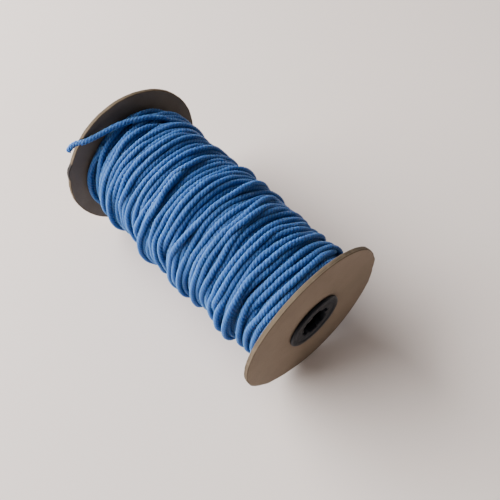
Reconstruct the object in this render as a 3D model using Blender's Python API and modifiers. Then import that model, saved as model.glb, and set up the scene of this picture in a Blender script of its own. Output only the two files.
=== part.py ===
"""A wholesale reel of twisted cord, lying on its side.

Two fibreboard flanges sit on the ends of a paper tube, and a moulded plug pressed into each end of
the tube clamps them there. The cord is wound between the flanges, and its free end is drawn through
a notch in the rear flange's rim.

The reel's axis is horizontal, along Y, with the front end towards -Y. The origin is on the ground
under the middle of the reel, and +Z is up. All sizes are in metres.
"""

from math import cos, pi, radians, sin

import bmesh
import bpy
from mathutils import Matrix, Vector

# Driving dimensions.
REEL_LENGTH = 0.152  # over the outer faces of the flanges
FLANGE_RADIUS = 0.045
FLANGE_THICKNESS = 0.0024
FLANGE_HOLE_RADIUS = 0.0128
TUBE_RADIUS = 0.015
TUBE_BORE_RADIUS = 0.0125
LIP_RADIUS = 0.0166
LIP_THICKNESS = 0.0016
DRIVE_HOLE_RADIUS = 0.0090
CORD_DIAMETER = 0.0031

# Smaller features.
GAP = 0.0003  # between pieces that touch on the real reel
EDGE = 0.0003  # the softened edges of the board and the tube
WEB_THICKNESS = 0.003  # the plug's end wall, behind the lip's face
FACE_RECESS = 0.0004  # the plug's face lies this far inside the lip's rim
LIP_ROUND = 0.0007
BARREL_RADIUS = 0.0118
BARREL_BORE_RADIUS = 0.0104
BARREL_LENGTH = 0.018  # from the flange's outer face inwards
BARREL_LEAD_IN = 0.001
RIB_COUNT = 8
RIB_RADIUS = TUBE_BORE_RADIUS - GAP
RIB_WIDTH = 0.0012
SLIT_WIDTH = 0.0016
SLIT_DEPTH = 0.008
TOOTH_COUNT = 6
TOOTH_TIP_RADIUS = 0.0078
TOOTH_HALF_ANGLE = radians(9)

# The outer shape of the wound cord: place along the reel's inner width, from 0 at the front flange
# to 1 at the rear one, and the radius there.
PACKAGE_PROFILE = [
    (0.0, 0.0345),
    (0.1, 0.0352),
    (0.24, 0.0360),
    (0.38, 0.0368),
    (0.5, 0.0378),
    (0.62, 0.0378),
    (0.74, 0.0358),
    (0.86, 0.0370),
    (0.94, 0.0368),
    (1.0, 0.0358),
]

# The cord's free end, as (radius and angle about the reel's axis, place along the axis). The angle is
# measured from +X over the top. It leaves the winding near its rear end, crosses the rear flange's
# inner face and passes through the notch in the rim.
TAIL_ROUTE = [
    (0.0392, 60, 0.0592),
    (0.0392, 75, 0.0614),
    (0.0392, 90, 0.0638),
    (0.0392, 102, 0.0660),
    (0.0394, 111, 0.0679),
    (0.0404, 119, 0.0696),
    (0.0420, 125.5, 0.0711),
    (0.0432, 130, 0.0728),
    (0.0438, 133, 0.0749),
    (0.0443, 136, 0.0772),
    (0.0447, 140, 0.0788),
    (0.0450, 144.5, 0.0794),
]
TAIL_POINTS_PER_SPAN = 4
NOTCH_SPANS = (6, 10)  # the part of the route that the notch is cut along

# How finely round shapes are divided.
FLANGE_SEGMENTS = 72
TUBE_SEGMENTS = 48
PLUG_SEGMENTS = 48
PACKAGE_SEGMENTS = 64

# Worked out from the dimensions. A flat of the many-sided rim lies on the ground.
HALF_LENGTH = REEL_LENGTH / 2
AXIS_HEIGHT = FLANGE_RADIUS * cos(pi / FLANGE_SEGMENTS)
WIDTH_INSIDE = REEL_LENGTH - 2 * FLANGE_THICKNESS
# Turns local +Z towards the front, -Y, and sets it on the reel's axis.
ON_AXIS = Matrix.Translation((0, 0, AXIS_HEIGHT)) @ Matrix.Rotation(pi / 2, 4, "X")


def clear_scene():
    for obj in list(bpy.data.objects):
        bpy.data.objects.remove(obj)


def new_collection(name):
    collection = bpy.data.collections.new(name)
    bpy.context.scene.collection.children.link(collection)
    return collection


def new_material(name, colour, roughness):
    material = bpy.data.materials.new(name)
    material.use_nodes = True
    shader = material.node_tree.nodes["Principled BSDF"]
    shader.inputs["Base Color"].default_value = (*colour, 1)
    shader.inputs["Roughness"].default_value = roughness
    shader.inputs["Metallic"].default_value = 0
    return material


def new_part(name, data, collection, material=None, matrix=ON_AXIS):
    obj = bpy.data.objects.new(name, data)
    collection.objects.link(obj)
    obj.matrix_world = matrix
    if material:
        data.materials.append(material)
    return obj


def turned(name, profile, segments, collection, material, half_step=False):
    """A closed profile of (radius, distance in front of the reel's middle), turned about the axis."""
    mesh = bpy.data.meshes.new(name)
    count = len(profile)
    edges = [(i, (i + 1) % count) for i in range(count)]
    mesh.from_pydata([(radius, 0, along) for radius, along in profile], edges, [])
    step = Matrix.Rotation(pi / segments if half_step else 0, 4, "Z")
    obj = new_part(name, mesh, collection, material, ON_AXIS @ step)
    screw = obj.modifiers.new("turn", "SCREW")
    screw.axis = "Z"
    screw.angle = 2 * pi
    screw.steps = segments
    screw.render_steps = segments
    screw.use_merge_vertices = True
    screw.merge_threshold = 0.00001
    screw.use_smooth_shade = False
    return obj


def as_cutter(obj):
    obj.hide_render = True
    obj.display_type = "WIRE"
    return obj


def boolean(obj, other, operation):
    modifier = obj.modifiers.new(operation.lower(), "BOOLEAN")
    modifier.operation = operation
    modifier.solver = "EXACT"
    modifier.object = other


def curve_to_mesh(obj):
    """Replaces a curve object with a closed mesh object of the same name and place."""
    bpy.context.view_layer.update()
    graph = bpy.context.evaluated_depsgraph_get()
    mesh = bpy.data.meshes.new_from_object(obj.evaluated_get(graph))
    work = bmesh.new()
    work.from_mesh(mesh)
    bmesh.ops.remove_doubles(work, verts=work.verts, dist=0.000001)
    work.to_mesh(mesh)
    work.free()
    name, matrix, collection = obj.name, obj.matrix_world.copy(), obj.users_collection[0]
    bpy.data.objects.remove(obj)
    return new_part(name, mesh, collection, None, matrix)


def flat_outline(name, points, thickness, collection, matrix):
    """A closed flat outline, given half its thickness each way along local Z."""
    curve = bpy.data.curves.new(name, "CURVE")
    curve.dimensions = "2D"
    curve.fill_mode = "BOTH"
    curve.extrude = thickness / 2
    spline = curve.splines.new("POLY")
    spline.points.add(len(points) - 1)
    for point, (x, y) in zip(spline.points, points):
        point.co = (x, y, 0, 1)
    spline.use_cyclic_u = True
    return curve_to_mesh(new_part(name, curve, collection, None, matrix))


def round_tube(name, points, radius, collection, material=None):
    """A closed tube along world points."""
    curve = bpy.data.curves.new(name, "CURVE")
    curve.dimensions = "3D"
    curve.bevel_depth = radius
    curve.bevel_resolution = 2
    curve.use_fill_caps = True
    spline = curve.splines.new("POLY")
    spline.points.add(len(points) - 1)
    for spline_point, place in zip(spline.points, points):
        spline_point.co = (*place, 1)
    return new_part(name, curve, collection, material, Matrix.Identity(4))


def block(name, size, centre, collection, matrix):
    """A box of that size about a centre, both in the matrix's own axes."""
    mesh = bpy.data.meshes.new(name)
    work = bmesh.new()
    bmesh.ops.create_cube(work, size=1)
    bmesh.ops.scale(work, vec=size, verts=work.verts)
    bmesh.ops.translate(work, vec=centre, verts=work.verts)
    work.to_mesh(mesh)
    work.free()
    return new_part(name, mesh, collection, None, matrix)


def place_about_axis(radius, degrees, along):
    angle = radians(degrees)
    return Vector((radius * cos(angle), along, AXIS_HEIGHT + radius * sin(angle)))


def smooth_route(route, points_per_span):
    """World points on a smooth curve through a route's places."""
    places = [place_about_axis(*place) for place in route]
    before, after = 2 * places[0] - places[1], 2 * places[-1] - places[-2]
    places = [before, *places, after]
    curve = []
    for a, b, c, d in zip(places, places[1:], places[2:], places[3:]):
        for step in range(points_per_span):
            t = step / points_per_span
            bend = 2 * a - 5 * b + 4 * c - d
            turn = 3 * b - a - 3 * c + d
            curve.append(b + 0.5 * t * (c - a + t * (bend + t * turn)))
    return [*curve, places[-2]]


def flange(name, side, collection, material):
    """side is 1 for the front end and -1 for the rear one."""
    outer, inner = HALF_LENGTH, HALF_LENGTH - FLANGE_THICKNESS
    profile = [
        (FLANGE_RADIUS - EDGE, outer),
        (FLANGE_RADIUS, outer - EDGE),
        (FLANGE_RADIUS, inner + EDGE),
        (FLANGE_RADIUS - EDGE, inner),
        (FLANGE_HOLE_RADIUS, inner),
        (FLANGE_HOLE_RADIUS, outer),
    ]
    obj = turned(name, profile, FLANGE_SEGMENTS, collection, material, half_step=True)
    if side < 0:
        obj.matrix_world = obj.matrix_world @ Matrix.Rotation(pi, 4, "X")
    return obj


def core_tube(name, collection, material):
    end = WIDTH_INSIDE / 2 - GAP
    profile = [
        (TUBE_RADIUS - EDGE, end),
        (TUBE_RADIUS, end - EDGE),
        (TUBE_RADIUS, EDGE - end),
        (TUBE_RADIUS - EDGE, -end),
        (TUBE_BORE_RADIUS, -end),
        (TUBE_BORE_RADIUS, end),
    ]
    return turned(name, profile, TUBE_SEGMENTS, collection, material)


def toothed_outline():
    """The drive hole's outline: arcs of the hole's radius between teeth that point inwards."""
    pitch = 2 * pi / TOOTH_COUNT
    gap_half_angle = pitch / 2 - TOOTH_HALF_ANGLE
    points = []
    for tooth in range(TOOTH_COUNT):
        middle = tooth * pitch
        for part in (-1, 0, 1):
            points.append((TOOTH_TIP_RADIUS, middle + part * TOOTH_HALF_ANGLE))
        for part in (-1, -0.5, 0, 0.5, 1):
            points.append((DRIVE_HOLE_RADIUS, middle + pitch / 2 + part * gap_half_angle))
    return [(radius * cos(angle), radius * sin(angle)) for radius, angle in points]


def hub_plug(name, side, collection, cutters, material):
    """A lip that bears on the flange, and a barrel with crush ribs and slits inside the tube."""
    face = HALF_LENGTH + GAP + LIP_THICKNESS
    seat = HALF_LENGTH + GAP
    end = HALF_LENGTH - BARREL_LENGTH
    floor = face - FACE_RECESS
    back = floor - WEB_THICKNESS
    pilot = TOOTH_TIP_RADIUS / 2  # a plain hole, which the toothed one then swallows
    profile = [
        (LIP_RADIUS - 3 * LIP_ROUND, floor),
        (LIP_RADIUS - 2.5 * LIP_ROUND, face),
        (LIP_RADIUS - LIP_ROUND, face),
        (LIP_RADIUS - LIP_ROUND * (1 - cos(pi / 4)), face - LIP_ROUND * (1 - sin(pi / 4))),
        (LIP_RADIUS, face - LIP_ROUND),
        (LIP_RADIUS, seat),
        (BARREL_RADIUS, seat),
        (BARREL_RADIUS, end + BARREL_LEAD_IN),
        (BARREL_RADIUS - BARREL_LEAD_IN / 2, end),
        (BARREL_BORE_RADIUS, end),
        (BARREL_BORE_RADIUS, back),
        (pilot, back),
        (pilot, floor),
    ]
    plug = turned(name, profile, PLUG_SEGMENTS, collection, material)
    matrix = ON_AXIS
    if side < 0:
        matrix = ON_AXIS @ Matrix.Rotation(pi, 4, "X")
        plug.matrix_world = matrix

    ribs_start = HALF_LENGTH - FLANGE_THICKNESS - GAP
    ribs_end = end + 2 * BARREL_LEAD_IN
    for rib in range(RIB_COUNT):
        turn = Matrix.Rotation((rib + 0.5) * 2 * pi / RIB_COUNT, 4, "Z")
        size = (RIB_RADIUS - BARREL_BORE_RADIUS - GAP, RIB_WIDTH, ribs_start - ribs_end)
        centre = (RIB_RADIUS - size[0] / 2, 0, (ribs_start + ribs_end) / 2)
        piece = block(f"{name}_rib_{rib + 1}", size, centre, cutters, matrix @ turn)
        boolean(plug, as_cutter(piece), "UNION")

    for slit in range(2):
        turn = Matrix.Rotation(slit * pi / 2, 4, "Z")
        size = (4 * BARREL_RADIUS, SLIT_WIDTH, 2 * SLIT_DEPTH)
        piece = block(f"{name}_slit_{slit + 1}", size, (0, 0, end), cutters, matrix @ turn)
        boolean(plug, as_cutter(piece), "DIFFERENCE")

    at_web = matrix @ Matrix.Translation((0, 0, floor - WEB_THICKNESS / 2))
    hole = flat_outline(
        f"{name}_drive_hole", toothed_outline(), 2 * WEB_THICKNESS, cutters, at_web
    )
    boolean(plug, as_cutter(hole), "DIFFERENCE")
    return plug


def cord_package(name, collection, material):
    """The outer shape of the wound cord, as one turned ring around the tube."""
    half = WIDTH_INSIDE / 2 - GAP
    outside = [(radius, half * (1 - 2 * place)) for place, radius in PACKAGE_PROFILE]
    inside = [(TUBE_RADIUS + GAP, -half), (TUBE_RADIUS + GAP, half)]
    return turned(name, outside + inside, PACKAGE_SEGMENTS, collection, material)


def build():
    clear_scene()
    reel = new_collection("cord_reel")
    cutters = new_collection("cutters")

    kraft = new_material("kraft_fibreboard", (0.30, 0.22, 0.155), 0.85)
    paper = new_material("tube_paper", (0.20, 0.15, 0.11), 0.9)
    plastic = new_material("black_plastic", (0.03, 0.03, 0.032), 0.45)
    cord = new_material("blue_cord", (0.05, 0.19, 0.46), 0.6)

    flange("front_flange", 1, reel, kraft)
    rear_flange = flange("rear_flange", -1, reel, kraft)
    core_tube("core_tube", reel, paper)
    hub_plug("front_hub_plug", 1, reel, cutters, plastic)
    hub_plug("rear_hub_plug", -1, reel, cutters, plastic)
    cord_package("cord_package", reel, cord)

    round_tube("cord_tail", smooth_route(TAIL_ROUTE, TAIL_POINTS_PER_SPAN), CORD_DIAMETER / 2, reel, cord)
    first, last = NOTCH_SPANS
    through_rim = smooth_route(TAIL_ROUTE[first : last + 1], TAIL_POINTS_PER_SPAN)
    notch = curve_to_mesh(round_tube("rim_notch", through_rim, CORD_DIAMETER / 2 + GAP, cutters))
    boolean(rear_flange, as_cutter(notch), "DIFFERENCE")


build()
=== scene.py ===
"""The looks of a reel of thick blue twisted cord that lies on its side.

The cord is wound by a small simulation: turn after turn slides into the valleys of the turns below it
and bridges the hollows under its tension, as on a reel whose cord is guided by hand.
"""

from math import cos, pi, radians, sin

import bpy
import numpy as np
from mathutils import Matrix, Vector


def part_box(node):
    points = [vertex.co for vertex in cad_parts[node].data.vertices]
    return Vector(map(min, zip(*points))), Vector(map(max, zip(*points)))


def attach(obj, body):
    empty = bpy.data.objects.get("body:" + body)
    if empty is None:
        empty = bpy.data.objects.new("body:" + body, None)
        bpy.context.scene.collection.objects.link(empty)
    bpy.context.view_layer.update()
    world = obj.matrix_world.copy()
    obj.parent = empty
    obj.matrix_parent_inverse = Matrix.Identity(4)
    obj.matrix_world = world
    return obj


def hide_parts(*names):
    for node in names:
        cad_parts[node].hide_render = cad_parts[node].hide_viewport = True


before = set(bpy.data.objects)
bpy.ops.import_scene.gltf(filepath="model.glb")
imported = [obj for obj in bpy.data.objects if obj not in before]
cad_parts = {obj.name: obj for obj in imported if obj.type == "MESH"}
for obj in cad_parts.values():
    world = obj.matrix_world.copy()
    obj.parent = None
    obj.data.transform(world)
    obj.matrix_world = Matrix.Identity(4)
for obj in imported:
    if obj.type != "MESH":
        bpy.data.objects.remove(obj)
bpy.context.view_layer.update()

# ---------------------------------------------------------------- sizes, from the frame
low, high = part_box("front_flange")
FRONT_FACE, FRONT_INSIDE = low.y, high.y
FLANGE_RADIUS = (high.x - low.x) / 2
AXIS = Vector((0, 0, (low.z + high.z) / 2))
low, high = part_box("rear_flange")
REAR_INSIDE, REAR_FACE = low.y, high.y
low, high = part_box("core_tube")
TUBE_RADIUS = (high.x - low.x) / 2
low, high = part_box("front_hub_plug")
PLUG_FACE = low.y
LIP_RADIUS = (high.x - low.x) / 2
HALF_INSIDE = (REAR_INSIDE - FRONT_INSIDE) / 2

MM = 0.001
CORD_DIAMETER = 3.1 * MM
FLANGE_HOLE_RADIUS = 12.8 * MM

# The outer shape of the winding: place from the front flange to the rear one, and radius.
PACKAGE_PROFILE = [
    (0.0, 0.0345),
    (0.1, 0.0352),
    (0.24, 0.0360),
    (0.38, 0.0368),
    (0.5, 0.0378),
    (0.62, 0.0378),
    (0.74, 0.0358),
    (0.86, 0.0370),
    (0.94, 0.0368),
    (1.0, 0.0358),
]

# The cord's free end: radius, angle about the reel's axis in degrees, and place along the axis.
TAIL_ROUTE = [
    (0.0392, 60, 0.0592),
    (0.0392, 75, 0.0614),
    (0.0392, 90, 0.0638),
    (0.0392, 102, 0.0660),
    (0.0394, 111, 0.0679),
    (0.0404, 119, 0.0696),
    (0.0420, 125.5, 0.0711),
    (0.0432, 130, 0.0728),
    (0.0438, 133, 0.0749),
    (0.0443, 136, 0.0772),
    (0.0447, 140, 0.0788),
    (0.0450, 144.5, 0.0794),
]

DARK_BULGE_ANGLE = 157  # where the rear flange's rim bulges and its edge is dark, in degrees about the axis


# ---------------------------------------------------------------- smooth curves
def smooth_between(a, b, c, d, t):
    """A Catmull-Rom curve from b (t = 0) to c (t = 1), with a before them and d after them."""
    return b + 0.5 * t * (c - a + t * (2 * a - 5 * b + 4 * c - d + t * (3 * b - a - 3 * c + d)))


def ease(share):
    """The share again, from 0 to 1, with a level start and end."""
    return share * share * (3 - 2 * share)


def smooth_noise(rng, count, spacing):
    """Smooth random values, one for each step, from random knots that are that many steps apart."""
    knots = rng.normal(size=int(count / spacing) + 5)
    place = np.arange(count) / spacing + 1
    i = place.astype(int)
    curve = smooth_between(knots[i - 1], knots[i], knots[i + 1], knots[i + 2], place - i)
    return curve / 0.82  # the curve's own standard deviation


def through_points(points, per_span):
    """Points on a smooth curve through rows of numbers."""
    points = np.asarray(points, float)
    points = np.vstack([2 * points[0] - points[1], points, 2 * points[-1] - points[-2]])
    shares = [step / per_span for step in range(per_span)]
    spans = zip(points, points[1:], points[2:], points[3:])
    curve = [smooth_between(a, b, c, d, t) for a, b, c, d in spans for t in shares]
    return np.array([*curve, points[-2]])


def smooth(line):
    """Moves the line's inner points towards the middle of their neighbours."""
    line[1:-1] += 0.25 * (line[:-2] - 2 * line[1:-1] + line[2:])


def running_mean(values, count):
    """The mean of each run of that many values."""
    total = np.concatenate([[0], values.cumsum()])
    return (total[count:] - total[:-count]) / count


def distances(line):
    """How far along the line each of its points is, and the gaps between them."""
    gaps = np.linalg.norm(np.diff(line, axis=0), axis=1)
    return np.concatenate([[0], np.cumsum(gaps)]), gaps


def evenly(line, step):
    """The line again, smooth, with points about that far apart."""
    along, gaps = distances(line)
    count = max(2, int(round(along[-1] / step)) + 1)
    at = np.linspace(0, along[-1], count)
    i = np.clip(np.searchsorted(along, at, side="right") - 1, 0, len(line) - 2)
    t = ((at - along[i]) / gaps[i])[:, None]
    a, b, c, d = (line[np.clip(i + k, 0, len(line) - 1)] for k in (-1, 0, 1, 2))
    return smooth_between(a, b, c, d, t)


# ---------------------------------------------------------------- winding the cord
SEED = 1
STEPS = 180  # steps of the simulation to a turn
STEP_ANGLE = 2 * pi / STEPS
CELL = 0.2 * MM  # width of a cell of the winding's height map
SPARE_CELLS = 4
STACK_RADIUS = 0.47 * CORD_DIAMETER  # turns press a little into each other
BLOCK = 12  # steps laid at a time
WINDOW = 108  # steps in hand
SETTLED = 36  # of these, steps whose place is final and whose height is being found
REACH = 34  # cells each way that a turn may slide from where it is guided
MOST_STEPS = 75000

# The guide, which brings the cord to and fro along the reel. Its pitch is the way it moves in a turn.
TRAVERSES = 8
WILD_TRAVERSES = 4  # the last ones, where the guide wanders more and the pitch grows
GUIDE_ROOM = HALF_INSIDE - CORD_DIAMETER / 2  # how far it goes each way from the middle
WANDER, WANDER_STEPS = 1.4 * MM, 45  # quick swings, and how many steps each takes
SWING, SWING_STEPS = 0.4 * MM, 2.3 * STEPS  # slow ones
UNEVEN, UNEVEN_STEPS = 0.06, 3.0 * STEPS  # of the pitch, as a share of it
CALM = 0.3  # share of the wander that is left on the inner layers
WALL_SHARE = 0.35  # share of it that is left beside a flange
END_FADE = 2 * MM  # where it dies out, before the winding's end
INNER_PITCH, PITCH_GROWTH = 3.4, 0.2  # in mm; the outer layers have the growth as well
LEAST_PITCH, MOST_PITCH = 2.9 * MM, 5.0 * MM
LEVELLING = 1.5  # how strongly the pitch answers to a layer too many or too few
LEVEL_CELLS = 20  # the level at a cell is a mean over this many cells on each side
BELOW_PROFILE = 0.3 * MM  # the level to reach, as the profile is drawn over the turns' tops
# The last traverse ends short of the rear flange, so it is wound fuller there: how much, from what
# share of the way along the reel, and over what share the difference grows.
FULLER, FULLER_FROM, FULLER_OVER = 3 * MM, 0.86, 0.08

# The cord, as it settles on the turns below it.
SLIDE_ROUNDS, SMOOTHINGS = 3, 9
LEAST_SLOPE = 0.12  # friction holds the cord on anything flatter
SLIDE, PULL = 0.8, 0.012  # cells a round down a slope, and share of the way back to the guide
KEPT_SLIDE = 0.97  # share of its slide that the cord takes over from the step before
PRESS_STEPS = 12  # the cord presses into what lifts it above its mean over this many steps each way
PRESSED = 0.3  # share of such a hump that is left
BRIDGES = (16, 11, 7, 4, 2, 1, 12, 6, 3, 1, 2, 1)  # half spans, in steps, that the taut cord bridges
BRIDGE_BACK = 20  # steps already laid that a bridge may start from


class Winding:
    """The winding as it grows: a height map over the turn's steps and the cells across the reel."""

    def __init__(self, seed):
        rng = np.random.default_rng(seed)
        wander = WANDER * smooth_noise(rng, MOST_STEPS, WANDER_STEPS)
        swing = SWING * smooth_noise(rng, MOST_STEPS, SWING_STEPS)
        self.noise = wander + swing
        self.uneven = UNEVEN * smooth_noise(rng, MOST_STEPS, UNEVEN_STEPS)

        self.cells = int(round(2 * HALF_INSIDE / CELL))
        self.half = int(STACK_RADIUS / CELL)  # cells that the cord covers each way from its middle
        self.pad = REACH + self.half + SPARE_CELLS
        self.top = np.full((STEPS, self.cells + 2 * self.pad), TUBE_RADIUS)
        self.top[:, : self.pad] = -1
        self.top[:, -self.pad :] = -1
        self.offsets = np.arange(-self.half, self.half + 1)
        self.bump = np.sqrt(STACK_RADIUS**2 - (self.offsets * CELL) ** 2)
        self.wide = 2 * REACH + 1  # cells where a turn may come to rest
        self.spread = np.arange(-REACH - self.half, REACH + self.half + 1)

        places = np.array([place for place, radius in PACKAGE_PROFILE]) * self.cells
        builds = np.array([radius for place, radius in PACKAGE_PROFILE]) - TUBE_RADIUS - BELOW_PROFILE
        builds += FULLER * np.clip((places / self.cells - FULLER_FROM) / FULLER_OVER, 0, 1)
        self.build = np.interp(np.arange(self.cells) + 0.5, places, builds)

        total = MOST_STEPS + WINDOW
        self.place = np.zeros(total)  # in cells
        self.aim = np.zeros(total)
        self.base = np.zeros(total, int)
        self.radius = np.zeros(total)
        self.column = np.arange(total) % STEPS
        self.traverse = 0
        self.side = 1 if TRAVERSES % 2 else -1
        self.guide = -self.side * GUIDE_ROOM
        self.end = None

    def wildness(self, done):
        """After that many traverses: 0 up to the wild ones, and growing to 1 over two of those."""
        return min(max(done - (TRAVERSES - WILD_TRAVERSES), 0) / 2, 1)

    def move_guide(self, step, level):
        """One step of the guide along the reel: slower where the winding is low, and back at the end.
        Returns the share of the wander that goes with it."""
        tail_place = TAIL_ROUTE[0][2]
        last = self.traverse == TRAVERSES - 1
        goal = tail_place if last else GUIDE_ROOM * self.side
        cell = int(np.clip((self.guide + HALF_INSIDE) / CELL, 0, self.cells - 1))
        expected = TUBE_RADIUS + self.build[cell] * self.traverse / TRAVERSES
        layer = self.build[cell] / TRAVERSES
        over = LEVELLING * (level[cell] - expected) / layer if self.traverse else 0
        pitch = (INNER_PITCH + PITCH_GROWTH * self.wildness(self.traverse)) * MM
        pitch = np.clip(pitch * (1 + over + self.uneven[step]), LEAST_PITCH, MOST_PITCH)
        travelled = abs(self.guide + self.side * GUIDE_ROOM) / (2 * GUIDE_ROOM)
        self.guide += self.side * pitch / STEPS
        if (goal - self.guide) * self.side <= 0:
            self.guide = goal
            if last:
                self.end = step + 1
            self.side = -self.side
            self.traverse += 1
        # The wander grows towards the outer layers, and dies out at the walls and at the end.
        share = CALM + (1 - CALM) * self.wildness(self.traverse + travelled)
        wall = min(GUIDE_ROOM - self.guide, self.guide + GUIDE_ROOM) / (3 * WANDER)
        share *= min(max(WALL_SHARE + wall, 0), 1)
        if last:
            share *= min(max(abs(tail_place - self.guide) / END_FADE - 0.2, 0), 1)
        return share

    def feed(self, first, count):
        """Where the guide brings the next steps of cord."""
        mean = np.pad(self.top[:, self.pad : -self.pad].mean(0), LEVEL_CELLS, "edge")
        level = running_mean(mean, 2 * LEVEL_CELLS + 1)
        for step in range(first, first + count):
            share = self.move_guide(step, level) if self.end is None else 0
            noise = self.noise[min(step, MOST_STEPS - 1)] * share
            aim = np.clip(self.guide + noise, -GUIDE_ROOM, GUIDE_ROOM)
            self.aim[step] = (aim + HALF_INSIDE) / CELL - 0.5 + self.pad
            self.base[step] = int(round(self.aim[step]))
            before = self.place[step - 1] - self.aim[step - 1] if step else 0
            self.place[step] = self.aim[step] + KEPT_SLIDE * before

    def resting(self, steps):
        """How high the cord's middle rests at each place around where it is guided."""
        under = self.top[self.column[steps][:, None], self.base[steps][:, None] + self.spread]
        rest = np.full((len(steps), self.wide), -1.0)
        for k, lift in enumerate(self.bump):
            np.maximum(rest, under[:, k : k + self.wide] + lift, out=rest)
        return rest

    def slide(self, steps, rest, fixed):
        """The cord slides down the sides of the turns below it, as far as its stiffness lets it."""
        rows = np.arange(len(steps))
        place, aim, base = self.place[steps], self.aim[steps], self.base[steps]
        held = place[:fixed].copy()
        lowest, highest = self.pad + self.half, self.pad + self.cells - 1 - self.half
        for _ in range(SLIDE_ROUNDS):
            at = np.clip(place - base + REACH, 1, self.wide - 3)
            i = at.astype(int)
            t = at - i
            left = rest[rows, i - 1] * (1 - t) + rest[rows, i] * t
            right = rest[rows, i + 1] * (1 - t) + rest[rows, i + 2] * t
            slope = (right - left) / (2 * CELL)
            fall = np.where(np.abs(slope) < LEAST_SLOPE, 0, np.clip(-slope, -1, 1))
            place = place + SLIDE * fall + PULL * (aim - place)
            for _ in range(SMOOTHINGS):
                place[:fixed] = held
                ends = np.concatenate([place[:1], place, place[-1:]])
                place = place + 0.25 * (ends[:-2] - 2 * place + ends[2:])
            place[:fixed] = held
            place = np.clip(place, lowest, highest)
        return place

    def heights(self, start, steps, rest):
        """The height of the cord's middle: pressed into what it crosses, and straight over hollows."""
        rows = np.arange(len(steps))
        at = np.clip(self.place[steps] - self.base[steps] + REACH, 0, self.wide - 2)
        i = at.astype(int)
        t = at - i
        height = rest[rows, i] * (1 - t) + rest[rows, i + 1] * t
        first = np.repeat(height[:1], PRESS_STEPS)
        before = self.radius[start - PRESS_STEPS : start] if start >= PRESS_STEPS else first
        after = np.repeat(height[-1:], PRESS_STEPS)
        mean = running_mean(np.concatenate([before, height, after]), 2 * PRESS_STEPS + 1)
        height = np.where(height > mean, mean + PRESSED * (height - mean), height)
        back = min(start, BRIDGE_BACK)
        laid = self.radius[start - back : start]
        line = np.concatenate([laid, height])
        for k in BRIDGES:
            near, far = line[: -2 * k], line[2 * k :]
            chord = 2 * near * far * cos(k * STEP_ANGLE) / (near + far)
            line[k:-k] = np.maximum(line[k:-k], chord)
            line[:back] = laid
        for _ in range(2):
            smooth(line)
            line[:back] = laid
        return line[back:]

    def lay(self, steps, height):
        """Adds laid cord to the height map."""
        middle = np.round(self.place[steps]).astype(int)
        for offset, lift in zip(self.offsets, self.bump):
            rows, cells = self.column[steps], middle + offset
            self.top[rows, cells] = np.maximum(self.top[rows, cells], height + lift)

    def wind(self):
        """Angle, place along the axis and radius of the cord's middle, step by step."""
        self.feed(0, WINDOW)
        rest = self.resting(np.arange(WINDOW))
        start = 0
        while self.end is None or start < self.end:
            steps = np.arange(start, start + WINDOW)
            self.place[steps] = self.slide(steps, rest, SETTLED if start else 0)
            self.radius[steps] = self.heights(start, steps, rest)
            done = BLOCK if self.end is None else min(BLOCK, self.end - start)
            self.lay(steps[:done], self.radius[steps[:done]])
            start += BLOCK
            self.feed(start + WINDOW - BLOCK, BLOCK)
            fresh = self.resting(np.arange(start + WINDOW - BLOCK, start + WINDOW))
            rest = np.concatenate([rest[BLOCK:], fresh])
        turn = int(round(TAIL_ROUTE[0][1] / 360 * STEPS)) - (self.end - 1)
        self.top = np.roll(self.top, turn % STEPS, 0)
        angle = (np.arange(self.end) + turn) * STEP_ANGLE
        along = (self.place[: self.end] - self.pad + 0.5) * CELL - HALF_INSIDE
        return angle, along, self.radius[: self.end]


def about_axis(angle, along, radius):
    """World points from places about the reel's axis."""
    return np.stack([radius * np.cos(angle), along, AXIS.z + radius * np.sin(angle)], axis=-1)


TAIL_STEPS = 12  # to a span of the free end's route
FREE_ANGLE = radians(111)  # where the free end is clear of the turns under it


def tail_route(winding, along, radius):
    """The free end's angle, place and radius. It starts where the winding stops, lies on the turns
    under it, and follows its own route once it is clear of them."""
    tail_radius, tail_degrees, tail_along = through_points(TAIL_ROUTE, TAIL_STEPS).T.copy()
    tail_angle = np.radians(tail_degrees)
    first = tail_angle[0]
    fade = ease(np.clip((FREE_ANGLE - tail_angle) / (FREE_ANGLE - first), 0, 1))
    tail_radius += (radius[-1] - tail_radius[0]) * fade
    tail_along += (along[-1] - tail_along[0]) * fade
    cell = (tail_along + HALF_INSIDE) / CELL - 0.5 + winding.pad
    column = np.round(tail_angle / STEP_ANGLE).astype(int) % STEPS
    over_turns = (tail_along < HALF_INSIDE - CORD_DIAMETER / 2) & (tail_angle > first + radians(3))
    # Past its first 3 degrees it is at least as high as the turns under it hold it.
    for n in np.flatnonzero(over_turns):
        cells = int(round(cell[n])) + winding.offsets
        tail_radius[n] = max(tail_radius[n], (winding.top[column[n], cells] + winding.bump).max())
    for _ in range(6):
        smooth(tail_radius)
    return tail_angle[1:], tail_along[1:], tail_radius[1:]


# ---------------------------------------------------------------- meshes
def new_object(name, mesh, *materials):
    obj = bpy.data.objects.new(name, mesh)
    bpy.context.scene.collection.objects.link(obj)
    for material in materials:
        mesh.materials.append(material)
    return obj


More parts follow.
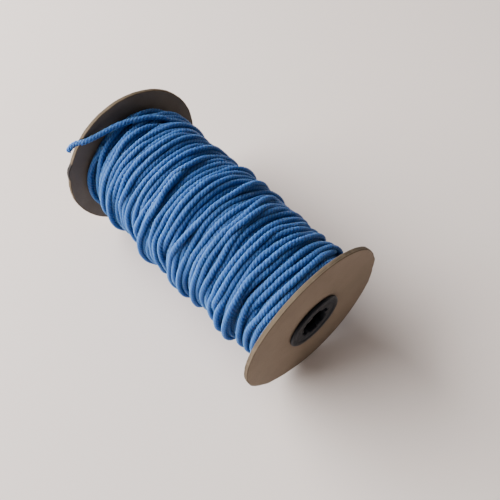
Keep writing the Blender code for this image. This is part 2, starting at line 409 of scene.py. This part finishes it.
def tube_mesh(name, points, along, share):
    """A mesh tube with two caps, from rings of points, an array of (rings, points in a ring, 3). Its
    map is u along the tube, and v from 0 to 1 round it."""
    rings, around = points.shape[:2]
    index = np.arange(rings * around).reshape(rings, around)
    after = np.roll(index, -1, axis=1)
    quads = np.stack([index[:-1], after[:-1], after[1:], index[1:]], axis=-1).reshape(-1, 4)
    sides = quads.size
    corners = np.concatenate([quads.ravel(), index[0][::-1], index[-1]])
    starts = np.append(np.arange(len(quads)) * 4, [sides, sides + around])
    totals = np.append(np.full(len(quads), 4), [around, around])
    mesh = bpy.data.meshes.new(name)
    mesh.vertices.add(rings * around)
    mesh.vertices.foreach_set("co", points.astype(np.float32).ravel())
    mesh.loops.add(len(corners))
    mesh.loops.foreach_set("vertex_index", corners.astype(np.int32))
    mesh.polygons.add(len(starts))
    mesh.polygons.foreach_set("loop_start", starts.astype(np.int32))
    mesh.polygons.foreach_set("loop_total", totals.astype(np.int32))
    mesh.polygons.foreach_set("use_smooth", np.ones(len(starts), bool))

    u = np.broadcast_to(along[:, None], (rings, around + 1))
    v = np.broadcast_to(share, (rings, around + 1))
    place = np.stack([u, v], axis=-1)
    place = np.stack([place[:-1, :-1], place[:-1, 1:], place[1:, 1:], place[1:, :-1]], axis=2)
    values = np.zeros((len(corners), 2), np.float32)
    values[:sides] = place.reshape(-1, 2)
    values[sides : sides + around] = (along[0], 0.5)
    values[sides + around :] = (along[-1], 0.5)
    mesh.uv_layers.new(name="cord").data.foreach_set("uv", values.ravel())
    mesh.update()
    mesh.validate()
    return mesh


STRAND_COUNT = 3
LAY_LENGTH = 6.4 * MM  # a strand's way along the cord in one turn about it
LOBE = [0.76, 0.94, 1.0, 0.94]  # share of the cord's radius, from the groove over a strand
FLATTENED, WIDENED = 0.97, 1.10  # the cord's height and width, as its neighbours press it
RING_STEP = 0.8 * MM
TIP_LENGTH = 0.9 * MM
PLAIN_SIDES = 8  # of the covered turns' tube
PLAIN_STEP = 2.4 * MM
PLAIN_SIZE = 0.95  # share of the cord's diameter
MAP_UNIT = 10 * MM  # of cord to a unit of the mesh's map


def sideways(line):
    """The directions outwards from the reel's axis and across, along a line."""
    tangent = np.gradient(line, axis=0)
    tangent /= np.linalg.norm(tangent, axis=1)[:, None]
    outward = line - np.array([0, 0, AXIS.z])
    outward[:, 1] = 0
    outward -= tangent * (outward * tangent).sum(1)[:, None]
    outward /= np.linalg.norm(outward, axis=1)[:, None]
    return outward[:, None, :], np.cross(tangent, outward)[:, None, :]


def strand_tube(name, line, travelled, tip=False):
    """Three strands laid together along a line, whose first point is that far along the cord."""
    along = travelled + distances(line)[0]
    outward, across = sideways(line)
    around = STRAND_COUNT * len(LOBE)
    lobe = np.tile(LOBE, STRAND_COUNT) * CORD_DIAMETER / 2
    # The lay and the thickness vary a little along the cord.
    lay = -2 * pi * (along / LAY_LENGTH + 0.12 * np.sin(along * 31) + 0.07 * np.sin(along * 83 + 1))
    angle = lay[:, None] + np.arange(around) * 2 * pi / around
    radius = np.broadcast_to(lobe, angle.shape) * (1 + 0.02 * np.sin(along * 190))[:, None]
    if tip:
        # The cut end: its strands are drawn in and rounded off.
        left = along[-1] - along
        shrink = np.sqrt(np.clip(1 - (1 - np.clip(left / TIP_LENGTH, 0, 1)) ** 2, 0.02, 1))
        radius = radius * shrink[:, None]
    points = (
        line[:, None, :]
        + FLATTENED * radius[..., None] * np.cos(angle)[..., None] * outward
        + WIDENED * radius[..., None] * np.sin(angle)[..., None] * across
    )
    mesh = tube_mesh(name, points, along / MAP_UNIT, np.arange(around + 1) / around)
    return new_object(name, mesh, LOOKS["cord"])


def plain_tube(name, line):
    """A smooth tube for the turns that other turns cover."""
    along = distances(line)[0]
    outward, across = sideways(line)
    angle = (np.arange(PLAIN_SIDES) * 2 * pi / PLAIN_SIDES)[None, :, None]
    radius = PLAIN_SIZE * CORD_DIAMETER / 2
    points = line[:, None, :] + radius * (np.cos(angle) * outward + np.sin(angle) * across)
    mesh = tube_mesh(name, points, along / MAP_UNIT, np.arange(PLAIN_SIDES + 1) / PLAIN_SIDES)
    return new_object(name, mesh, LOOKS["cord"])


# ---------------------------------------------------------------- materials
STRIP_WIDTH = 45 * MM  # of the core tube's paper, along the tube


class Look:
    """A node material being built: a Principled shader and short ways to add nodes to it."""

    def __init__(self, name, roughness, **values):
        self.material = bpy.data.materials.new(name)
        self.material.use_nodes = True
        self.tree = self.material.node_tree
        self.shader = self.tree.nodes["Principled BSDF"]
        self.shader.inputs["Roughness"].default_value = roughness
        for socket, value in values.items():
            self.shader.inputs[socket.replace("_", " ")].default_value = value

    def node(self, kind, inputs=None, **settings):
        node = self.tree.nodes.new(kind)
        for key, value in settings.items():
            setattr(node, key, value)
        for key, value in (inputs or {}).items():
            if isinstance(value, bpy.types.NodeSocket):
                self.tree.links.new(value, node.inputs[key])
            else:
                node.inputs[key].default_value = value
        return node

    def split(self, vector):
        return self.node("ShaderNodeSeparateXYZ", {0: vector}).outputs

    def math(self, operation, a, b=0.0, c=0.0):
        return self.node("ShaderNodeMath", {0: a, 1: b, 2: c}, operation=operation).outputs[0]

    def noise(self, vector, scale, detail=2.0, roughness=0.5):
        inputs = {"Vector": vector, "Scale": scale, "Detail": detail, "Roughness": roughness}
        return self.node("ShaderNodeTexNoise", inputs).outputs["Fac"]

    def spread(self, value, low, high, to_low=0.0, to_high=1.0):
        """The value, from the range low to high, spread over the other range."""
        inputs = {"Value": value, 1: low, 2: high, 3: to_low, 4: to_high}
        return self.node("ShaderNodeMapRange", inputs, clamp=True).outputs[0]

    def mix(self, factor, a, b):
        """Colour a where the factor is 0, and b where it is 1."""
        a, b = (value if isinstance(value, bpy.types.NodeSocket) else (*value, 1) for value in (a, b))
        return self.node("ShaderNodeMix", {0: factor, 6: a, 7: b}, data_type="RGBA").outputs[2]

    def place(self, scale=(1, 1, 1)):
        """Where on the reel a point is, with each direction scaled."""
        where = self.node("ShaderNodeTexCoord").outputs["Object"]
        return self.node("ShaderNodeMapping", {"Vector": where, "Scale": scale}).outputs[0]

    def link(self, socket, name):
        self.tree.links.new(socket, self.shader.inputs[name])

    def bump(self, height, distance):
        inputs = {"Height": height, "Distance": distance, "Strength": 1.0}
        self.link(self.node("ShaderNodeBump", inputs).outputs[0], "Normal")


def cord_look():
    """Twisted fibres, with shade painted darker into the grooves between the strands, and a little uneven
    in colour.
    """
    look = Look("blue_cord", 0.7, Specular_IOR_Level=0.1, Sheen_Weight=0.02, Sheen_Roughness=0.5)
    look.shader.inputs["Subsurface Weight"].default_value = 1.0
    look.shader.inputs["Subsurface Scale"].default_value = 4.0 * MM
    look.shader.inputs["Subsurface Radius"].default_value = (0.5, 0.8, 1.0)
    along, around = look.split(look.node("ShaderNodeUVMap", uv_map="cord").outputs[0])[:2]
    strand = look.math("PINGPONG", look.math("MULTIPLY", around, float(STRAND_COUNT)), 0.5)
    # painted shade: a mask that is 1 in the grooves between the strands
    painted_groove_shade = look.spread(strand, 0.02, 0.26, 1.0, 0.0)
    stretched = {0: look.math("MULTIPLY", along, 1.6), 1: look.math("MULTIPLY", around, 30.0)}
    fibre_place = look.node("ShaderNodeCombineXYZ", stretched).outputs[0]
    fibres = look.noise(fibre_place, scale=1.0, detail=3.0, roughness=0.6)
    patches = look.noise(look.place(), scale=60.0)
    colour = look.mix(look.spread(fibres, 0.3, 0.7), (0.031, 0.093, 0.268), (0.043, 0.129, 0.345))
    colour = look.mix(look.spread(patches, 0.35, 0.7, 0.0, 0.35), colour, (0.035, 0.107, 0.300))
    # painted shade: the colour is darkened in the grooves between the strands, where shade falls
    colour = look.mix(look.math("MULTIPLY", painted_groove_shade, 0.7), colour, (0.018, 0.060, 0.185))
    look.link(colour, "Base Color")
    look.link(look.spread(fibres, 0.3, 0.7, 0.48, 0.66), "Roughness")
    look.bump(fibres, 0.12 * MM)
    return look.material


def board_look(name, face, flecks, dark):
    """Kraft fibreboard: a mottled liner with fine fibres and a few specks."""
    look = Look(name, 0.8, Specular_IOR_Level=0.3)
    blotches = look.noise(look.place(), scale=55.0, detail=3.0, roughness=0.6)
    fibres = look.noise(look.place((1.0, 1.0, 4.0)), scale=420.0, detail=4.0, roughness=0.7)
    specks = look.noise(look.place((1.0, 1.0, 2.0)), scale=900.0, detail=1.0)
    colour = look.mix(look.spread(blotches, 0.3, 0.7), face, flecks)
    colour = look.mix(look.spread(fibres, 0.35, 0.75, 0.0, 0.45), colour, flecks)
    colour = look.mix(look.spread(specks, 0.68, 0.78, 0.0, 0.55), colour, dark)
    look.link(colour, "Base Color")
    look.link(look.spread(fibres, 0.3, 0.7, 0.74, 0.9), "Roughness")
    look.bump(fibres, 0.06 * MM)
    return look.material


def board_edge_look(name, patch_angle=None):
    """The cut edge of the board: thin plies, paler than its faces, and scuffed. Given a patch angle, it is
    near black in a patch there, with a ragged border."""
    look = Look(name, 0.88, Specular_IOR_Level=0.2)
    plies = look.noise(look.place((18.0, 900.0, 18.0)), scale=1.0, detail=3.0, roughness=0.6)
    scuffs = look.noise(look.place(), scale=160.0, detail=4.0, roughness=0.65)
    colour = look.mix(look.spread(plies, 0.35, 0.65), (0.082, 0.060, 0.040), (0.142, 0.108, 0.074))
    colour = look.mix(look.spread(scuffs, 0.5, 0.72, 0.0, 0.6), colour, (0.195, 0.147, 0.101))
    # a near-black patch on the edge about the patch angle, with a ragged border
    if patch_angle:
        turn = radians(patch_angle)
        patch_place = AXIS + Vector((FLANGE_RADIUS * cos(turn), REAR_INSIDE, FLANGE_RADIUS * sin(turn)))
        where = look.node("ShaderNodeTexCoord").outputs["Object"]
        between = {0: where, 1: tuple(patch_place)}
        away = look.node("ShaderNodeVectorMath", between, operation="DISTANCE").outputs["Value"]
        ragged = look.math("MULTIPLY_ADD", look.noise(look.place(), scale=500.0, detail=3.0), 4 * MM, away)
        colour = look.mix(look.spread(ragged, 6.5 * MM, 8.5 * MM, 0.95, 0.0), colour, (0.028, 0.025, 0.026))
    look.link(colour, "Base Color")
    look.bump(plies, 0.12 * MM)
    return look.material


def plastic_look():
    """Black moulded plastic with a fine grain and some dust."""
    look = Look("black_plastic", 0.5, Specular_IOR_Level=0.12)
    grain = look.noise(look.place(), scale=900.0)
    dust = look.noise(look.place(), scale=130.0, detail=4.0, roughness=0.65)
    colour = look.mix(look.spread(dust, 0.45, 0.75), (0.009, 0.012, 0.018), (0.020, 0.024, 0.032))
    look.link(colour, "Base Color")
    look.link(look.spread(dust, 0.4, 0.7, 0.32, 0.55), "Roughness")
    look.bump(grain, 0.02 * MM)
    return look.material


def tube_look():
    """Spirally wound paper: the strips' seams run round the tube."""
    look = Look("tube_paper", 0.85, Specular_IOR_Level=0.25)
    x, y, z = look.split(look.place())
    turn = look.math("DIVIDE", look.math("ARCTAN2", look.math("SUBTRACT", z, AXIS.z), x), 2 * pi)
    strips = look.math("FRACT", look.math("ADD", look.math("MULTIPLY", y, 1 / STRIP_WIDTH), turn))
    seam = look.spread(strips, 0.0, 0.03, 1.0, 0.0)
    fibres = look.noise(look.place((1.0, 0.3, 1.0)), scale=500.0, detail=3.0, roughness=0.6)
    colour = look.mix(look.spread(fibres, 0.3, 0.7), (0.19, 0.14, 0.095), (0.28, 0.21, 0.145))
    colour = look.mix(look.math("MULTIPLY", seam, 0.7), colour, (0.06, 0.045, 0.03))
    look.link(colour, "Base Color")
    look.bump(fibres, 0.06 * MM)
    return look.material


def floor_look():
    look = Look("pale_floor", 0.75, Specular_IOR_Level=0.25)
    mottle = look.noise(look.place(), scale=3.0)
    colour = look.mix(look.spread(mottle, 0.3, 0.7), (0.83, 0.74, 0.695), (0.86, 0.77, 0.725))
    look.link(colour, "Base Color")
    return look.material


# ---------------------------------------------------------------- turned meshes
def ring_angles(count):
    return np.arange(count) * 2 * pi / count


def turned_mesh(name, radius, along):
    """Rings about the reel's axis, closed both ways, from arrays of (rings, points in a ring)."""
    points = about_axis(ring_angles(radius.shape[1]), along, radius)
    index = np.arange(radius.size).reshape(radius.shape)
    below = np.roll(index, -1, axis=0)
    quads = np.stack([index, below, np.roll(below, -1, axis=1), np.roll(index, -1, axis=1)], axis=-1)
    mesh = bpy.data.meshes.new(name)
    mesh.from_pydata(points.reshape(-1, 3).tolist(), [], quads.reshape(-1, 4).tolist())
    mesh.shade_smooth()
    return mesh


def rounding(size, count):
    """A round corner, from a face to a side: how far each point is in from the side, and from the face."""
    turns = [step / (count - 1) * pi / 2 for step in range(count)]
    return [(size * (1 - sin(turn)), size * (1 - cos(turn))) for turn in turns]


def off_angle(angle, middle):
    """How far each angle is from the middle, in degrees."""
    return np.abs((np.degrees(angle) - middle + 180) % 360 - 180)


def bulge(angle, middle, half_width):
    """1 at an angle in degrees, falling smoothly to 0 at half_width degrees from it."""
    off = off_angle(angle, middle) / half_width
    return np.where(off < 1, np.cos(off * pi / 2) ** 2, 0)


# ---------------------------------------------------------------- board flanges
FLANGE_STEPS = 720
FACE_RADII = [FLANGE_HOLE_RADIUS]
FACE_RADII += [radius * MM for radius in (13.1, 16, 20, 25, 30, 34, 37, 39.5, 41.5, 43, 44)]
RIM_ROUNDING = 0.45 * MM
STILL_RADIUS = 30 * MM  # the flange is flat and round inside this
GROUND_ANGLE = 270  # where the flange stands on the ground


def flange_profile(inside, outside):
    """From the hole's edge along the inner face, round the rim and back along the outer face. Also
    returns which of its stretches are the rim."""
    way = 1 if outside > inside else -1
    corner = rounding(RIM_ROUNDING, 5)
    face = [(radius, inside) for radius in FACE_RADII]
    rim = [(FLANGE_RADIUS - back, inside + way * deep) for back, deep in corner]
    for share in (0.3, 0.42, 0.5, 0.58, 0.7):
        # The plies stand out and in a little.
        rim.append((FLANGE_RADIUS + 0.05 * MM * sin(share * 40), inside + (outside - inside) * share))
    rim += [(FLANGE_RADIUS - back, outside - way * deep) for back, deep in reversed(corner)]
    back_face = [(radius, outside) for radius in reversed(FACE_RADII)]
    return [*face, *rim, *back_face], range(len(face), len(face) + len(rim) - 1)


def rim_noise(angle, seed):
    """The rim's small unevenness, as a sum of waves with whole numbers of periods."""
    rng = np.random.default_rng(seed)
    total = np.zeros_like(angle)
    for waves, size in ((3, 0.10), (5, 0.08), (11, 0.05), (23, 0.04), (47, 0.03), (90, 0.02)):
        total += size * MM * np.sin(waves * angle + rng.uniform(0, 2 * pi))
    return total


def cut_notch(angle, radius, through, notch):
    """The rim drawn in to the notch's floor; through is 0 on the inner face and 1 on the outer one."""
    middle = notch["inside"] + (notch["outside"] - notch["inside"]) * through
    off = off_angle(angle, middle) / notch["half_width"]
    floor = notch["floor"] + (FLANGE_RADIUS - notch["floor"]) * np.clip(off, 0, 1) ** 4
    return np.where(off < 1, np.minimum(radius, np.maximum(floor, STILL_RADIUS)), radius)


def make_flange(name, node, inside, outside, edge, dents, seed, warp=None, notch=None):
    """A board disc. Dents are (angle, half width, height) on its rim, and the warp is one of its face,
    all in degrees and metres."""
    profile, edge_rings = flange_profile(inside, outside)
    radius, along = (np.repeat(values[:, None], FLANGE_STEPS, axis=1) for values in np.array(profile).T)
    angle = ring_angles(FLANGE_STEPS)
    share = np.clip((radius - STILL_RADIUS) / (FLANGE_RADIUS - STILL_RADIUS), 0, 1) ** 3
    change = rim_noise(angle, seed) - 0.06 * MM
    for middle, half_width, depth in dents:
        change = change + depth * bulge(angle, middle, half_width)
    # It stands on the ground at its lowest, so nothing is added there.
    change = change - (np.maximum(change, 0) + 0.04 * MM) * bulge(angle, GROUND_ANGLE, 25)
    radius = radius + change * share
    if notch:
        through = np.clip((along - inside) / (outside - inside), 0, 1)
        radius = cut_notch(angle, radius, through, notch)
    waves = 0.10 * MM * np.sin(2 * angle + seed) + 0.06 * MM * np.sin(5 * angle + 2 * seed)
    along = along + waves * share
    way = 1 if outside > inside else -1
    if warp:
        middle, half_width, size = warp
        bent = np.clip((radius - LIP_RADIUS) / (FLANGE_RADIUS - LIP_RADIUS), 0, 1) ** 1.5
        along = along + way * size * bulge(angle, middle, half_width) * bent

    mesh = turned_mesh(name, radius, along)
    obj = new_object(name, mesh, LOOKS["board"], LOOKS["board_inside"], edge)
    for polygon in mesh.polygons:
        ring = polygon.index // FLANGE_STEPS
        if ring in edge_rings:
            polygon.material_index = 2
        elif ring < edge_rings.start:
            polygon.material_index = 1
    if way < 0:
        mesh.flip_normals()
    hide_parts(node)
    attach(obj, "root")


# ---------------------------------------------------------------- hub plugs
PLUG_STEPS = 360
TOOTH_COUNT = 6
TOOTH_TIP, TOOTH_ROOT = 7.8 * MM, 9.0 * MM
RIB_COUNT, RIB_HEIGHT = 8, 0.35 * MM


def tooth_outline(angle):
    """The drive hole's radius: flat-topped teeth with rounded corners."""
    wave = np.cos(TOOTH_COUNT * angle)
    share = ease(np.clip((wave - 0.35) / 0.35, 0, 1))
    return TOOTH_ROOT - (TOOTH_ROOT - TOOTH_TIP) * share


def make_plug(name, node, face, way):
    """A moulded plug: a rounded lip, a sunk web with the toothed hole, and a ribbed barrel. Each ring
    is a radius and a depth from the face, in mm, and the hole's rings are set back from its outline."""
    angle = ring_angles(PLUG_STEPS)
    hole = [(0, 3.3), (0, 0.85), (0.12, 0.6), (0.4, 0.46)]
    web = [(10.2, 0.44), (11.2, 0.42), (12.6, 0.40), (13.1, 0.36), (13.4, 0.2), (13.7, 0.06), (14.1, 0.0)]
    lip = [(15.1, 0.0), *((LIP_RADIUS / MM - back, deep) for back, deep in rounding(1.1, 7))]
    back = [(LIP_RADIUS / MM, 1.45), (LIP_RADIUS / MM - 0.15, 1.6), (12.2, 1.6), (11.8, 1.6)]
    ribs = [(11.8, 4.4), (11.8, 18.4)]
    end = [(11.3, 19.9), (10.4, 19.9), (10.4, 3.4), (9.9, 3.4)]
    rib = np.clip((np.cos(RIB_COUNT * angle) - 0.88) / 0.05, 0, 1) * RIB_HEIGHT
    outline = tooth_outline(angle)
    rings = [(outline + radius * MM, depth) for radius, depth in hole]
    rings += [(np.full(PLUG_STEPS, radius * MM), depth) for radius, depth in [*web, *lip, *back]]
    rings += [(radius * MM + rib, depth) for radius, depth in ribs]
    rings += [(np.full(PLUG_STEPS, radius * MM), depth) for radius, depth in end]
    radius = np.array([radii for radii, depth in rings])
    along = np.array([np.full(PLUG_STEPS, face + way * depth * MM) for radii, depth in rings])
    mesh = turned_mesh(name, radius, along)
    if way > 0:
        mesh.flip_normals()
    mesh.set_sharp_from_angle(angle=radians(50))
    obj = new_object(name, mesh, LOOKS["plastic"])
    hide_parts(node)
    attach(obj, "root")


# ---------------------------------------------------------------- camera, light and floor
CAMERA_PLACE = Vector((-0.1052, -0.1437, 0.2893))
CAMERA_TARGET = Vector((0.00527, -0.02367, 0.045))
LIGHTS_TARGET = Vector((0, 0, 0.03))
FLOOR_SIDE = 8.0


def add_aimed(name, data, place, target):
    """Adds a camera or a light that points at the target."""
    obj = bpy.data.objects.new(name, data)
    bpy.context.scene.collection.objects.link(obj)
    obj.location = place
    obj.rotation_euler = (target - Vector(place)).to_track_quat("-Z", "Y").to_euler()
    return obj


def make_camera():
    data = bpy.data.cameras.new("camera")
    data.lens = 38.9
    data.sensor_width = 36
    data.clip_start = 0.01
    bpy.context.scene.camera = add_aimed("camera", data, CAMERA_PLACE, CAMERA_TARGET)


def area_light(name, place, size, power, colour):
    data = bpy.data.lights.new(name, "AREA")
    data.shape = "RECTANGLE"
    data.size, data.size_y = size
    data.energy = power
    data.color = colour
    add_aimed(name, data, place, LIGHTS_TARGET)


def make_surroundings():
    mesh = bpy.data.meshes.new("floor")
    corners = [(x * FLOOR_SIDE / 2, y * FLOOR_SIDE / 2, 0) for x, y in ((-1, -1), (1, -1), (1, 1), (-1, 1))]
    mesh.from_pydata(corners, [], [(0, 1, 2, 3)])
    new_object("floor", mesh, LOOKS["floor"])
    area_light("window", place=(-0.83, 1.08, 0.86), size=(2.1, 1.6), power=118, colour=(1.0, 0.985, 0.965))
    area_light("far_wall", place=(1.3, 0.25, 0.45), size=(1.2, 0.8), power=1.5, colour=(0.97, 0.98, 1.0))
    world = bpy.data.worlds.new("room")
    world.use_nodes = True
    background = world.node_tree.nodes["Background"].inputs
    background["Color"].default_value = (0.93, 0.85, 0.80, 1)
    background["Strength"].default_value = 0.24
    bpy.context.scene.world = world


# ---------------------------------------------------------------- the cord's pieces
OUTER_PIECES = 5
INNER_SHARE = 0.62  # share of the steps that are wound before the detailed turns begin


def declare(obj, line, node):
    """Hides the frame's part for a piece of the cord, puts the piece on the root body, and returns its
    length.
    """
    length = float(distances(line)[1].sum())
    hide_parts(node)
    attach(obj, "root")
    return length


def make_cord():
    """The whole cord: its covered turns, its outer turns in pieces, and its free end."""
    winding = Winding(SEED)
    angle, along, radius = winding.wind()
    wound = about_axis(angle, along, radius)
    tail = about_axis(*tail_route(winding, along, radius))
    cut = int(len(wound) * INNER_SHARE)
    inner = evenly(wound[: cut + 1], PLAIN_STEP)
    outer = evenly(np.vstack([wound[cut:], tail]), RING_STEP)
    tail_from = int(np.argmin(np.linalg.norm(outer - wound[-1], axis=1)))
    total = declare(plain_tube("cord_wound_inside", inner), inner, "cord_package")
    ends = np.linspace(0, tail_from, OUTER_PIECES + 1).astype(int)
    for number, (first, last) in enumerate(zip(ends, ends[1:]), 1):
        line = outer[first : last + 1]
        obj = strand_tube(f"cord_wound_outside_{number}", line, total)
        total += declare(obj, line, "cord_package")
    line = outer[tail_from:]
    obj = strand_tube("cord_free_end", line, total, tip=True)
    total += declare(obj, line, "cord_tail")
    print(f"cord: {total:.2f} m in {len(wound) / STEPS:.0f} turns")


# ---------------------------------------------------------------- the scene
make_camera()
LOOKS = {
    "cord": cord_look(),
    "board": board_look(
        "kraft_board", face=(0.208, 0.155, 0.110), flecks=(0.248, 0.188, 0.136), dark=(0.117, 0.084, 0.06)
    ),
    "board_inside": board_look(
        "board_inside", face=(0.105, 0.090, 0.076), flecks=(0.135, 0.117, 0.100), dark=(0.06, 0.05, 0.042)
    ),
    "edge": board_edge_look("board_edge"),
    "dark_patched_edge": board_edge_look("dark_patched_board_edge", DARK_BULGE_ANGLE),
    "plastic": plastic_look(),
    "tube": tube_look(),
    "floor": floor_look(),
}
make_surroundings()
make_cord()
make_flange(
    "front_board_flange",
    "front_flange",
    FRONT_INSIDE,
    FRONT_FACE,
    LOOKS["edge"],
    dents=[
        (13, 5, 0.5 * MM),
        (2, 4, -0.5 * MM),
        (346, 5, 0.4 * MM),
        (215, 14, -0.4 * MM),
        (228, 8, 0.35 * MM),
    ],
    seed=3,
    warp=(305, 100, 2.2 * MM),
)
make_flange(
    "rear_board_flange",
    "rear_flange",
    REAR_INSIDE,
    REAR_FACE,
    LOOKS["dark_patched_edge"],
    dents=[(DARK_BULGE_ANGLE, 8, 0.9 * MM)],
    seed=5,
    notch={"inside": 131.2, "outside": 134.6, "half_width": 2.9, "floor": 41.9 * MM},
)
make_plug("front_plug_moulding", "front_hub_plug", PLUG_FACE, 1)
make_plug("rear_plug_moulding", "rear_hub_plug", -PLUG_FACE, -1)
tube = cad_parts["core_tube"]
tube.data.materials.clear()
tube.data.materials.append(LOOKS["tube"])
